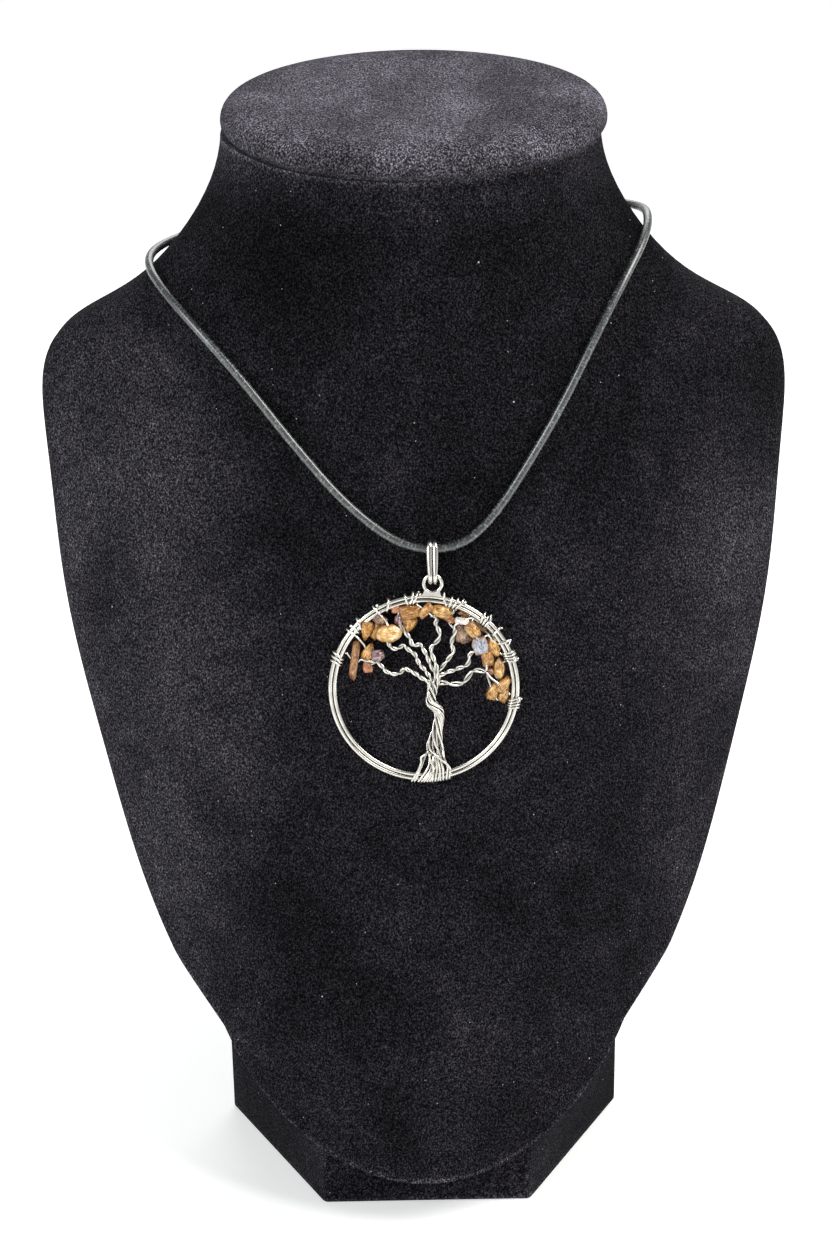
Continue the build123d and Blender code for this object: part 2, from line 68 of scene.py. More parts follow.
# mesh helpers
def link(name, mesh):
    obj = bpy.data.objects.new(name, mesh)
    bpy.context.scene.collection.objects.link(obj)
    return obj


def smooth_line(points, step):
    """Points about step apart on a centripetal Catmull-Rom line through the given points."""
    p = [Vector(q) for q in points]
    p = [q for i, q in enumerate(p) if not i or (q - p[i - 1]).length > 1e-4]
    p = [p[0] * 2 - p[1]] + p + [p[-1] * 2 - p[-2]]
    out = []
    for a, b, c, d in zip(p, p[1:], p[2:], p[3:]):
        t1 = (b - a).length ** 0.5
        t2 = t1 + (c - b).length ** 0.5
        t3 = t2 + (d - c).length ** 0.5
        n = max(1, int((c - b).length / step + 0.5))
        for i in range(n):
            t = t1 + (t2 - t1) * i / n
            ab = a * ((t1 - t) / t1) + b * (t / t1)
            bc = b * ((t2 - t) / (t2 - t1)) + c * ((t - t1) / (t2 - t1))
            cd = c * ((t3 - t) / (t3 - t2)) + d * ((t - t2) / (t3 - t2))
            abc = ab * ((t2 - t) / t2) + bc * (t / t2)
            bcd = bc * ((t3 - t) / (t3 - t1)) + cd * ((t - t1) / (t3 - t1))
            out.append(abc * ((t2 - t) / (t2 - t1)) + bcd * ((t - t1) / (t2 - t1)))
    out.append(p[-2])
    return out


def frames(line):
    """Tangent and two normals at each point of a line, turning as little as they can."""
    n = len(line)
    tangents = [(line[min(i + 1, n - 1)] - line[max(i - 1, 0)]).normalized() for i in range(n)]
    side = tangents[0].orthogonal().normalized()
    out = []
    for t in tangents:
        side = (side - t * side.dot(t)).normalized()
        out.append((t, side, t.cross(side)))
    return out


class Tubes:
    """Wires and pads gathered into one mesh, with U round each one and V along it, in millimetres."""

    def __init__(self):
        self.verts, self.faces = [], []

    def rings(self, rings, runs, closed=False):
        """Join rings of points by faces; runs holds V at each ring, and open ends get a cap."""
        base, count, sides = len(self.verts), len(rings), len(rings[0])
        for ring in rings:
            self.verts.extend(ring)
        for i in range(count if closed else count - 1):
            j = (i + 1) % count
            v0, v1 = runs[i], runs[i + 1] if i + 1 < len(runs) else runs[i]
            for k in range(sides):
                k2 = (k + 1) % sides
                u0, u1 = k / sides, (k + 1) / sides
                self.faces.append((
                    (base + i * sides + k, base + i * sides + k2, base + j * sides + k2, base + j * sides + k),
                    ((u0, v0), (u1, v0), (u1, v1), (u0, v1)),
                ))
        if not closed:
            for i, order in ((0, -1), (count - 1, 1)):
                ring = [base + i * sides + k for k in range(sides)][::order]
                self.faces.append((tuple(ring), tuple((0.5, runs[i]) for _ in ring)))

    def add(self, line, radius, sides=8):
        """A round wire along a line."""
        line = [Vector(q) for q in line]
        rings, runs, run = [], [], 0.0
        for i, (p, (_, a, b)) in enumerate(zip(line, frames(line))):
            run += (p - line[i - 1]).length if i else 0.0
            runs.append(run)
            turns = [2 * math.pi * k / sides for k in range(sides)]
            rings.append([p + (a * math.cos(w) + b * math.sin(w)) * radius for w in turns])
        self.rings(rings, runs)

    def build(self, name):
        mesh = bpy.data.meshes.new(name)
        mesh.from_pydata([v * MM for v in self.verts], [], [f for f, _ in self.faces])
        layer = mesh.uv_layers.new(name="uv")
        layer.data.foreach_set("uv", [c for _, uv in self.faces for pair in uv for c in pair])
        mesh.polygons.foreach_set("use_smooth", [len(f) == 4 for f, _ in self.faces])
        mesh.update()
        return link(name, mesh)


# the pendant's own frame: its radius and middle, and its directions as it leans back on the chest
RADIUS = 25.0
HUB = Vector((1.076, -39.800, 151.020))
LEAN = math.radians(8.150)
ACROSS = Vector((1, 0, 0))
UP = Vector((0, math.sin(LEAN), math.cos(LEAN)))
OUT = Vector((0, -math.cos(LEAN), math.sin(LEAN)))
# the hoop's inner and outer reach, half its depth, and the reach of the groove between its two wires
R_IN, R_OUT, HALF = 22.8, 25.0, 0.5625
GROOVE = 23.9


# materials
def new_material(name):
    mat = bpy.data.materials.new(name)
    mat.use_nodes = True
    tree = mat.node_tree
    return mat, tree, tree.nodes["Principled BSDF"]


def node(tree, kind, inputs=(), **props):
    n = tree.nodes.new(kind)
    for key, value in props.items():
        setattr(n, key, value)
    for key, value in dict(inputs).items():
        if isinstance(value, bpy.types.NodeSocket):
            tree.links.new(value, n.inputs[key])
        else:
            n.inputs[key].default_value = value
    return n


def calc(tree, kind, a, b=0.0, c=0.0):
    return node(tree, "ShaderNodeMath", {0: a, 1: b, 2: c}, operation=kind).outputs[0]


def spread(tree, value, low, high, to_low=0.0, to_high=1.0):
    """The value carried from its own range to another one, and held inside it."""
    return node(tree, "ShaderNodeMapRange", {
        "Value": value, "From Min": low, "From Max": high, "To Min": to_low, "To Max": to_high,
    }).outputs["Result"]


def cloud(tree, place, scale, detail=2.0, rough=0.5, distort=0.0):
    return node(tree, "ShaderNodeTexNoise", {
        "Vector": place, "Scale": scale, "Detail": detail, "Roughness": rough, "Distortion": distort,
    }).outputs["Fac"]


def times(tree, a, b):
    return calc(tree, "MULTIPLY", a, b)


def along(tree, place, way):
    """How far a place lies in a direction."""
    return node(tree, "ShaderNodeVectorMath", {0: place, 1: way}, operation="DOT_PRODUCT").outputs["Value"]


def stretched(tree, place, by):
    return node(tree, "ShaderNodeVectorMath", {0: place, 1: by}, operation="MULTIPLY").outputs[0]


def ramp(tree, fac, stops):
    n = tree.nodes.new("ShaderNodeValToRGB")
    tree.links.new(fac, n.inputs["Fac"])
    elements = n.color_ramp.elements
    while len(elements) < len(stops):
        elements.new(0.5)
    for element, (pos, colour) in zip(elements, stops):
        element.position = pos
        element.color = (*colour, 1.0)
    return n.outputs["Color"]


def mixed(tree, fac, a, b):
    a = a if isinstance(a, bpy.types.NodeSocket) else (*a, 1.0)
    b = b if isinstance(b, bpy.types.NodeSocket) else (*b, 1.0)
    return node(tree, "ShaderNodeMix", {0: fac, 6: a, 7: b}, data_type="RGBA").outputs[2]


def bumped(tree, shader, height, strength, distance):
    bump = node(tree, "ShaderNodeBump", {"Height": height, "Strength": strength, "Distance": distance})
    tree.links.new(bump.outputs["Normal"], shader.inputs["Normal"])


PILE = (0.0102, 0.0095, 0.0114)
# specks of lint and dust: how many cells there are per metre, their size, the share of empty cells, colour
LINT = [
    (110.0, 0.026, 0.74, (0.42, 0.43, 0.46)),
    (330.0, 0.06, 0.80, (0.26, 0.26, 0.27)),
]
# radius within which the flock's edges get a painted sheen, in metres
EDGE_SHEEN_RADIUS = 0.0035


def flock(name, gain, sheen, rim, painted_light=()):
    """Black flock: short upright fibres, lighter patches of brushing and specks of lint.

    rim is how much lighter the pile is painted at edges, a painted sheen. Each row of the last
    argument paints light and shade: a direction, two places along it, and how light the pile is at each.
    """
    mat, tree, shader = new_material(name)
    place = node(tree, "ShaderNodeTexCoord").outputs["Object"]
    tall = stretched(tree, place, (1.0, 1.0, 0.8))
    fine = spread(tree, cloud(tree, tall, 2300.0, 2.0, 0.7), 0.36, 0.66)
    grain = calc(tree, "ADD", times(tree, calc(tree, "POWER", fine, 2.4), 3.5), 0.14)
    wide = spread(tree, cloud(tree, place, 15.0, 4.0, 0.55, 0.8), 0.38, 0.68, 0.6, 1.6)
    smear = spread(tree, cloud(tree, place, 75.0, 4.0, 0.65, 0.5), 0.50, 0.76, 0.95, 1.6)
    level = times(tree, times(tree, grain, wide), times(tree, smear, gain))
    # painted sheen: the pile is lighter where the bevel finds an edge
    rounded = node(tree, "ShaderNodeBevel", {"Radius": EDGE_SHEEN_RADIUS}, samples=6).outputs["Normal"]
    facing = node(tree, "ShaderNodeNewGeometry").outputs["Normal"]
    level = times(tree, level, spread(tree, along(tree, rounded, facing), 0.995, 0.80, 1.0, 1.0 + rim))
    # painted light and shade: the pile lighter or darker along the given directions
    for way, low, high, from_gain, to_gain in painted_light:
        level = times(tree, level, spread(tree, along(tree, place, way), low, high, from_gain, to_gain))
    base = node(tree, "ShaderNodeVectorMath", {0: PILE, "Scale": level}, operation="SCALE").outputs[0]
    for scale, size, share, colour in LINT:
        cells = node(tree, "ShaderNodeTexVoronoi", {"Vector": place, "Scale": scale})
        pick = node(tree, "ShaderNodeSeparateColor", {"Color": cells.outputs["Color"]}).outputs[0]
        near = calc(tree, "LESS_THAN", cells.outputs["Distance"], size)
        base = mixed(tree, times(tree, near, calc(tree, "GREATER_THAN", pick, share)), base, colour)
    tree.links.new(base, shader.inputs["Base Color"])
    shader.inputs["Roughness"].default_value = 1.0
    shader.inputs["Specular IOR Level"].default_value = 0.02
    shader.inputs["Sheen Weight"].default_value = sheen
    shader.inputs["Sheen Roughness"].default_value = 0.38
    shader.inputs["Sheen Tint"].default_value = (0.86, 0.86, 0.95, 1.0)
    bumped(tree, shader, grain, 0.5, 0.0003)
    return mat


# grey of the painted shade where wires meet, and the reach within which ambient occlusion paints it, in metres
CREVICE_SHADE_GREY = (0.16, 0.15, 0.125)
CREVICE = 0.0009
# half the width of the painted shade in the groove between the hoop's wires: where it is darkest, and where it ends
GROOVE_DARK, GROOVE_END = 0.00010, 0.00028


def metal(name, colour, roughness, grain=0.1, groove=False):
    """Bright plated wire with painted shade where wires meet and along the hoop's groove, faint stains and fine
    marks.
    """
    mat, tree, shader = new_material(name)
    place = node(tree, "ShaderNodeTexCoord").outputs["Object"]
    stain = cloud(tree, place, 380.0, 3.0)
    tone = ramp(tree, stain, [(0.32, tuple(c * 0.78 for c in colour)), (0.62, colour)])
    # painted shade where wires come close together, found by ambient occlusion
    crevice = node(tree, "ShaderNodeAmbientOcclusion", {"Distance": CREVICE}, samples=6, only_local=True)
    painted_shade = spread(tree, crevice.outputs["AO"], 0.30, 0.80, 1.0, 0.0)
    # painted shade along the groove between the hoop's two wires
    if groove:
        arm = node(tree, "ShaderNodeVectorMath", {0: place, 1: HUB * MM}, operation="SUBTRACT").outputs[0]
        squares = [calc(tree, "POWER", along(tree, arm, way), 2.0) for way in (ACROSS, UP)]
        reach = calc(tree, "SQRT", calc(tree, "ADD", *squares))
        far = calc(tree, "ABSOLUTE", calc(tree, "SUBTRACT", reach, GROOVE * MM))
        painted_shade = calc(tree, "MAXIMUM", painted_shade, spread(tree, far, GROOVE_DARK, GROOVE_END, 0.9, 0.0))
    tree.links.new(mixed(tree, painted_shade, tone, CREVICE_SHADE_GREY), shader.inputs["Base Color"])
    tree.links.new(spread(tree, stain, 0.3, 0.7, roughness * 1.35, roughness * 0.8), shader.inputs["Roughness"])
    shader.inputs["Metallic"].default_value = 1.0
    bumped(tree, shader, cloud(tree, place, 1500.0), grain, 0.0001)
    return mat


# the braid: yarns each way round the cord, and how many times a yarn comes round in a millimetre
YARNS = 6.0
YARN_TURNS = 0.55


def braid(name):
    """Black braided cord: two sets of yarns that cross on the slant under a glossy wax, with painted shade in the
    hollows between yarns and painted glints on their crests.
    """
    mat, tree, shader = new_material(name)
    parts = node(tree, "ShaderNodeSeparateXYZ", {"Vector": node(tree, "ShaderNodeTexCoord").outputs["UV"]})
    waves = []
    for sign in (1, -1):
        both = calc(tree, "ADD", times(tree, parts.outputs["X"], YARNS * sign),
                    times(tree, parts.outputs["Y"], YARN_TURNS))
        waves.append(calc(tree, "SINE", times(tree, both, 2 * math.pi)))
    height = spread(tree, times(tree, *waves), -1.0, 1.0)
    gloss_patches = cloud(tree, node(tree, "ShaderNodeTexCoord").outputs["Object"], 1100.0, 3.0, 0.7)
    # painted shade: the yarns darken into the hollows between them
    tone = ramp(tree, height, [(0.15, (0.002, 0.0023, 0.0023)), (0.9, (0.020, 0.024, 0.023))])
    # painted glints: light grey-green flecks on the yarns' crests
    painted_glints = times(tree, spread(tree, gloss_patches, 0.52, 0.66, 0.0, 0.7), height)
    tree.links.new(mixed(tree, painted_glints, tone, (0.30, 0.35, 0.34)), shader.inputs["Base Color"])
    tree.links.new(spread(tree, gloss_patches, 0.3, 0.7, 0.24, 0.42), shader.inputs["Roughness"])
    shader.inputs["Specular IOR Level"].default_value = 0.2
    shader.inputs["Specular Tint"].default_value = (0.86, 1.0, 0.95, 1.0)
    shader.inputs["Coat Weight"].default_value = 1.0
    shader.inputs["Coat IOR"].default_value = 1.8
    shader.inputs["Coat Roughness"].default_value = 0.32
    bumped(tree, shader, height, 0.7, 0.00016)
    return mat


def stone(name, dark, mid, light, rough=0.2, edge_colour=None):
    """Tumbled stone with silky bands along each chip, fine dark specks and, if an edge colour is given, a turn
    towards it near its edges.
    """
    mat, tree, shader = new_material(name)
    grain = node(tree, "ShaderNodeAttribute", attribute_name="grain").outputs["Vector"]
    silk = stretched(tree, grain, (0.35, 1.5, 1.1))
    bands = cloud(tree, silk, 2.1, 4.0, 0.62, 0.9)
    patch = cloud(tree, grain, 0.75, 3.0, 0.55)
    total = calc(tree, "ADD", times(tree, bands, 0.55), times(tree, patch, 0.45))
    colour = ramp(tree, total, [(0.40, dark), (0.505, mid), (0.63, light)])
    specks = spread(tree, cloud(tree, grain, 7.0, 2.0), 0.62, 0.70)
    colour = mixed(tree, times(tree, specks, 0.6), colour, tuple(c * 0.5 for c in dark))
    # towards the edge colour near the chip's outline
    if edge_colour:
        far = node(tree, "ShaderNodeAttribute", attribute_name="edge").outputs["Fac"]
        edge = spread(tree, calc(tree, "ADD", far, times(tree, patch, 0.5)), 1.0, 1.3, 0.0, 0.8)
        colour = mixed(tree, edge, colour, edge_colour)
    tree.links.new(colour, shader.inputs["Base Color"])
    shader.inputs["Roughness"].default_value = rough
    shader.inputs["Subsurface Weight"].default_value = 0.08
    shader.inputs["Subsurface Radius"].default_value = (0.0012, 0.0006, 0.0003)
    shader.inputs["Coat Weight"].default_value = 0.8
    shader.inputs["Coat Roughness"].default_value = 0.08
    bumped(tree, shader, bands, 0.45, 0.00025)
    return mat


# the cap's middle in millimetres, and its directions back and up as it slants to the front
CAP_MIDDLE = Vector((0.9, 12.0, 293.5))
CAP_SLANT = math.radians(13)
CAP_BACK = Vector((0, math.cos(CAP_SLANT), math.sin(CAP_SLANT)))
CAP_UP = Vector((0, -math.sin(CAP_SLANT), math.cos(CAP_SLANT)))

# painted light and shade on the bust: painted light towards its left side, painted shade darkening the neck, painted
# light just under the cap, painted light towards its right side
bust_painted_light = [
    ((-1, 0, 0), 0.036, 0.068, 1.0, 2.4),
    ((0, 0, 1), 0.180, 0.225, 1.0, 0.62),
    (CAP_UP, 0.264, 0.279, 1.0, 2.4),
    ((1, 0, 0), 0.056, 0.088, 1.0, 1.8),
]
# painted shade on the cap: darker towards its lower edge and towards its left side
cap_painted_light = [(CAP_UP, 0.2780, 0.2856, 0.36, 1.0), (ACROSS, -0.05, 0.03, 0.62, 1.12)]
flock_mat = flock("flock", 1.22, 0.02, 2.2, bust_painted_light)
base_mat = flock("flock_base", 1.15, 0.03, 4.5)
# the cap's flock is painted many times lighter than the bust's: painted light and sheen on its top
cap_mat = flock("flock_cap", 9.5, 0.03, 0.0, cap_painted_light)
metal_mat = metal("metal", (0.72, 0.70, 0.64), 0.19)
hoop_mat = metal("metal_hoop", (0.70, 0.68, 0.62), 0.19, groove=True)
wire_mat = metal("wire", (0.74, 0.72, 0.655), 0.26, grain=0.2)
braid_mat = braid("braid")
# dark brown that most chips turn towards near their edges
EDGE_BROWN = (0.16, 0.055, 0.014)
stone_mats = {
    "brown": stone("stone_brown", (0.055, 0.018, 0.006), (0.28, 0.115, 0.026), (0.60, 0.34, 0.12), 0.3, EDGE_BROWN),
    "amber": stone("stone_amber", (0.100, 0.032, 0.005), (0.40, 0.170, 0.022), (0.80, 0.47, 0.12), 0.24, EDGE_BROWN),
    "honey": stone("stone_honey", (0.140, 0.052, 0.008), (0.46, 0.225, 0.038), (0.90, 0.65, 0.28), 0.2, EDGE_BROWN),
    "cream": stone("stone_cream", (0.40, 0.165, 0.022), (0.66, 0.40, 0.11), (0.96, 0.85, 0.58), 0.15, EDGE_BROWN),
    "purple": stone("stone_purple", (0.04, 0.014, 0.012), (0.19, 0.095, 0.10), (0.62, 0.50, 0.54), 0.1),
    "dark": stone("stone_dark", (0.030, 0.011, 0.006), (0.20, 0.095, 0.048), (0.55, 0.39, 0.24), 0.35),
    "red": stone("stone_red", (0.13, 0.03, 0.010), (0.38, 0.13, 0.045), (0.60, 0.32, 0.15), 0.22),
    "pale": stone("stone_pale", (0.42, 0.34, 0.28), (0.72, 0.67, 0.62), (0.92, 0.90, 0.88), 0.12),
    "grey": stone("stone_grey", (0.12, 0.13, 0.16), (0.31, 0.33, 0.39), (0.66, 0.70, 0.80), 0.12,
                  (0.40, 0.17, 0.02)),
}


def dress(obj, mat):
    obj.data.materials.clear()
    obj.data.materials.append(mat)


dress(nodes["bust_form"], flock_mat)
dress(nodes["base"], base_mat)
dress(nodes["hoop"], hoop_mat)
dress(nodes["clasp"], metal_mat)

# cord: its control points, from one end of the clasp round the neck to the other, in millimetres
CORD_DIAMETER = 2.3
CORD_ROUTE = [
    (-8, 56.9, 266.5), (-14, 56.9, 266.5), (-24, 54.6, 266.1), (-36.2, 50.3, 264.4), (-50.2, 42.4, 261.3),
    (-62.2, 32.6, 258.7), (-69.9, 19.5, 257.1), (-70.6, 7, 254.8), (-65.1, -4.2, 249.4), (-56.1, -13.4, 241.4),
    (-44.6, -19.7, 229.4), (-30.5, -24.9, 211.7), (-17.5, -29, 197), (-3.3, -33.027, 187.05),
    (10.7, -33.027, 186.95), (19.8, -29.2, 194.1), (28.9, -25.1, 207), (38, -22, 222), (47, -16.5, 239),
    (55.2, -8.5, 252.4), (61.4, 1.8, 261.2), (63.2, 12, 265.8), (61.8, 23.6, 266), (54.6, 34.4, 265.6),
    (43.2, 43.8, 265.9), (31.8, 51.2, 266.2), (22.5, 55.4, 266.6), (14, 56.9, 266.5), (8, 56.9, 266.5),
]


def spline_points(route, resolution):
    """Points on a smooth line that has the route's points as its control points."""
    data = bpy.data.curves.new("route", "CURVE")
    data.dimensions = "3D"
    spline = data.splines.new("NURBS")
    spline.points.add(len(route) - 1)
    for point, place in zip(spline.points, route):
        point.co = (*(c * MM for c in place), 1.0)
    spline.order_u = 3
    spline.use_endpoint_u = True
    spline.resolution_u = resolution
    obj = bpy.data.objects.new("route", data)
    bpy.context.scene.collection.objects.link(obj)
    bpy.context.view_layer.update()
    mesh = bpy.data.meshes.new_from_object(obj.evaluated_get(bpy.context.evaluated_depsgraph_get()))
    points = [v.co.copy() for v in mesh.vertices]
    bpy.data.objects.remove(obj)
    bpy.data.curves.remove(data)
    bpy.data.meshes.remove(mesh)
    return points


cord_line = [p / MM for p in spline_points(CORD_ROUTE, 32)]
cord_tubes = Tubes()
cord_tubes.add(cord_line, CORD_DIAMETER / 2, sides=20)
cord = cord_tubes.build("cord_braid")
dress(cord, braid_mat)
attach(cord, "display")
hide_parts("cord")


# tree
def at(u, v, o=0.0):
    """A place on the pendant, in millimetres, with each length a share of its radius."""
    return HUB + (ACROSS * u + UP * v + OUT * o) * RADIUS


def polar(angle, reach, out=0.0):
    """A place on the pendant by its angle from the right side and its reach, in millimetres."""
    a = math.radians(angle)
    return HUB + ACROSS * (reach * math.cos(a)) + UP * (reach * math.sin(a)) + OUT * out


# the wire's diameter, and how far in front of or behind the hoop's middle a wire lies on it
WIRE = 0.66
CLEAR = HALF + WIRE / 2 + 0.02

# trunk: height, middle, width and depth of the bundle, as shares of the pendant's radius
TRUNK = [
    (-0.70, 0.106, 0.205, 0.105), (-0.66, 0.105, 0.194, 0.11), (-0.595, 0.1045, 0.180, 0.11),
    (-0.53, 0.1146, 0.150, 0.11), (-0.464, 0.1267, 0.126, 0.11), (-0.3985, 0.141, 0.120, 0.11),
    (-0.333, 0.152, 0.115, 0.11), (-0.268, 0.155, 0.116, 0.11), (-0.235, 0.139, 0.130, 0.11),
    (-0.202, 0.1125, 0.152, 0.11), (-0.170, 0.0856, 0.142, 0.11), (-0.140, 0.070, 0.118, 0.11),
    (-0.092, 0.073, 0.115, 0.11), (-0.034, 0.0846, 0.115, 0.11), (0.019, 0.090, 0.124, 0.11),
    (0.06, 0.097, 0.145, 0.10), (0.12, 0.10, 0.165, 0.09),
]
# turn of the bundle, in degrees, by height
TWIST = [(-0.70, 0), (-0.56, 45), (-0.30, 165), (-0.15, 300), (0.12, 510)]


def between(table, x, column):
    """A column's value at x, on straight lines between the rows of a table."""
    for a, b in zip(table, table[1:]):
        if x <= b[0]:
            t = (x - a[0]) / (b[0] - a[0])
            return a[column] + (b[column] - a[column]) * t
    return table[-1][column]


CORE_SHARE = 0.34


def trunk_place(v, phase, core):
    """Where a wire of the bundle runs at a height; phase is its turn at the bottom."""
    phi = math.radians(phase + between(TWIST, v, 1))
    share = CORE_SHARE if core else 1.0
    a = (between(TRUNK, v, 2) * RADIUS / 2 - WIRE / 2) * share
    b = (between(TRUNK, v, 3) * RADIUS / 2 - WIRE / 2) * share
    return at(between(TRUNK, v, 1), v) + ACROSS * (a * math.cos(phi)) + OUT * (b * math.sin(phi))


# the middle line of each branch, from the trunk out, in shares
BRANCHES = [
    [(0.045, 0.075, 0.03), (0.003, 0.101, 0.025), (-0.048, 0.130, 0.02), (-0.095, 0.168, 0.02), (-0.142, 0.193, 0.02),
     (-0.20, 0.22, 0.01), (-0.25, 0.17, 0), (-0.32, 0.16, 0), (-0.394, 0.191, 0), (-0.436, 0.241, 0),
     (-0.50, 0.296, 0.01), (-0.59, 0.307, 0.02)],
    [(0.082, 0.091, 0.01), (0.045, 0.144, 0.01), (0.012, 0.197, 0.01), (-0.030, 0.241, 0.01), (-0.062, 0.294, 0.01),
     (-0.090, 0.366, 0.01), (-0.137, 0.400, 0.01), (-0.184, 0.442, 0), (-0.215, 0.463, 0), (-0.240, 0.447, 0),
     (-0.287, 0.428, 0), (-0.346, 0.450, 0), (-0.367, 0.50, 0), (-0.372, 0.53, 0)],
    [(0.124, 0.144, 0.01), (0.101, 0.197, 0.01), (0.068, 0.255, 0.01), (0.050, 0.303, 0.01), (0.031, 0.352, 0.01),
     (0.003, 0.410, 0.01), (-0.020, 0.453, 0), (-0.044, 0.472, 0), (-0.090, 0.459, 0), (-0.118, 0.470, 0),
     (-0.136, 0.53, 0), (-0.180, 0.592, 0), (-0.217, 0.645, 0), (-0.248, 0.70, 0)],
    [(0.148, 0.144, 0.02), (0.138, 0.202, 0.02), (0.124, 0.260, 0.02), (0.110, 0.303, 0.02), (0.091, 0.352, 0.01),
     (0.078, 0.400, 0), (0.085, 0.447, 0), (0.120, 0.480, 0), (0.160, 0.525, 0), (0.172, 0.577, 0),
     (0.150, 0.638, 0), (0.128, 0.690, 0), (0.142, 0.735, 0), (0.098, 0.781, -0.01)],
    [(0.165, 0.175, -0.01), (0.203, 0.241, -0.01), (0.236, 0.284, 0), (0.269, 0.328, 0), (0.303, 0.372, 0),
     (0.309, 0.414, 0), (0.292, 0.4625, 0), (0.300, 0.511, 0), (0.318, 0.56, 0), (0.336, 0.64, 0.02)],
    [(0.1755, 0.144, 0.01), (0.222, 0.159, 0.01), (0.269, 0.178, 0), (0.315, 0.188, 0), (0.353, 0.207, 0),
     (0.404, 0.2215, 0), (0.451, 0.2456, 0), (0.474, 0.284, 0), (0.474, 0.332, 0), (0.4925, 0.366, 0),
     (0.545, 0.393, 0)],
    [(0.166, 0.058, 0), (0.213, 0.058, 0), (0.264, 0.043, 0), (0.315, 0.043, 0), (0.362, 0.043, 0),
     (0.409, 0.053, 0), (0.441, 0.087, 0), (0.469, 0.125, 0), (0.502, 0.170, 0), (0.53, 0.181, 0),
     (0.58, 0.183, 0), (0.65, 0.165, 0)],
]
# for each branch: height where its wires leave the trunk, their turns there (none for a core wire),
# the pair's pitch in millimetres and how far its wires run from its middle, in wires
LEAVES = [
    (-0.01, (198, 162), 4.4, 0.46), (0.02, (126, None), 4.3, 0.47), (0.06, (90, None), 5.0, 0.46),
    (0.07, (54, None), 5.4, 0.47), (0.06, (18, None), 5.2, 0.47), (0.04, (342, 234), 5.0, 0.47),
    (0.00, (306, 270), 7.7, 0.62),
]
# turns of the core wires at the height where they leave the trunk
CORE_TURNS = (200.0, 60.0, 330.0, 110.0)
# height where the roots leave the trunk, and the steps in height from there up
ROOT_TOP, TRUNK_STEP = -0.66, 0.02
# roots: angle of the foot on the hoop in degrees, then places from the trunk down, in shares
FRONT_ROOTS = [
    (-98.1, [(0.0175, -0.69, 0.04), (-0.043, -0.738, 0.04), (-0.040, -0.775, 0.04), (-0.062, -0.85, 0.04)]),
    (-85.8, [(0.047, -0.72, 0.07), (0.052, -0.765, 0.07), (0.081, -0.817, 0.075), (0.084, -0.88, 0.065)]),
    (-75.4, [(0.125, -0.710, 0.09), (0.182, -0.765, 0.08), (0.233, -0.810, 0.07), (0.261, -0.863, 0.055)]),
    (-84.0, [(0.112, -0.75, 0.05), (0.122, -0.85, 0.055)]),
    (-80.9, [(0.135, -0.75, 0.05), (0.150, -0.85, 0.055)]),
    (-79.2, [(0.165, -0.77, 0.05), (0.186, -0.86, 0.055)]),
    (-77.2, [(0.200, -0.75, 0.04), (0.236, -0.84, 0.05)]),
]
BACK_ROOTS = [
    (-96.5, [(0.000, -0.74, 0.00), (-0.032, -0.82, 0.02), (-0.060, -0.88, 0.03)]),
    (-94.2, [(0.045, -0.76, 0.00), (0.043, -0.817, 0.03), (0.011, -0.876, 0.045)]),
    (-92.3, [(0.078, -0.79, 0.00), (0.050, -0.885, 0.03)]),
    (-90.6, [(0.092, -0.78, 0.00), (0.066, -0.875, 0.02)]),
    (-88.9, [(0.104, -0.77, 0.00), (0.088, -0.865, 0.015)]),
    (-87.3, [(0.130, -0.77, 0.00), (0.108, -0.865, 0.015)]),
    (-82.4, [(0.170, -0.77, 0.00), (0.160, -0.865, 0.015)]),
]


def twisted(centre, which, pitch, apart):
    """One wire of a branch's pair, winding round the branch's middle line."""
    line, run = [], 0.0
    for i, (p, (_, a, b)) in enumerate(zip(centre, frames(centre))):
        run += (p - centre[i - 1]).length if i else 0.0
        if i % 2 == 0:
            angle = math.pi * which + 2 * math.pi * run / pitch
            line.append(p + (a * math.cos(angle) + b * math.sin(angle)) * WIRE * apart)
    return line


def foot_wrap(foot, last):
    """A root's wire from the inner side of the hoop over its front, round its edge and behind it."""
    rise, aside = last.dot(UP), last.dot(ACROSS)
    start_angle = math.degrees(math.atan2(rise, aside))
    start_reach = math.hypot(rise, aside)

    def slanted(reach):
        """Angle of the wire as it slants across the hoop to its foot."""
        return foot + (start_angle - foot) * max(0.0, (R_OUT - reach) / (R_OUT - start_reach))

    return [
        polar(slanted(R_IN + 0.4), R_IN + 0.4, CLEAR), polar(slanted(24.2), 24.2, CLEAR),
        polar(foot, R_OUT - 0.02, 0.72), polar(foot + 0.1, R_OUT + WIRE / 2 + 0.02, 0.0),
        polar(foot + 0.2, R_OUT - 0.05, -0.72), polar(foot + 0.3, 24.0, -CLEAR),
        polar(foot + 0.3, R_IN + 0.4, -CLEAR),
    ]


tree = Tubes()
wires = []
core_turns = iter(CORE_TURNS)
for (split, turns, pitch, apart), places in zip(LEAVES, BRANCHES):
    centre = smooth_line([at(*q) for q in places], 0.25)
    for which, turned in enumerate(turns):
        core = turned is None
        phase = (next(core_turns) if core else turned) - between(TWIST, split, 1)
        low = [trunk_place(v, phase, core) for v in np.arange(ROOT_TOP, split + 0.001, TRUNK_STEP)]
        wires.append((low, twisted(centre, which, pitch, apart)))

# the wires that lie in front at the foot of the trunk go to the front roots, and each half from left to right
ordered = sorted(wires, key=lambda w: (w[0][0] - HUB).dot(OUT))
half_count = len(BACK_ROOTS)
for group, roots in ((ordered[:half_count], BACK_ROOTS), (ordered[half_count:], FRONT_ROOTS)):
    group = sorted(group, key=lambda w: (w[0][0] - HUB).dot(ACROSS))
    for (low, high), (foot, places) in zip(group, roots):
        wrap = foot_wrap(foot, at(*places[-1]) - HUB)
        path = wrap[::-1] + [at(*q) for q in places[::-1]] + low + high
        tree.add(smooth_line(path, 0.3), WIRE / 2, sides=10)


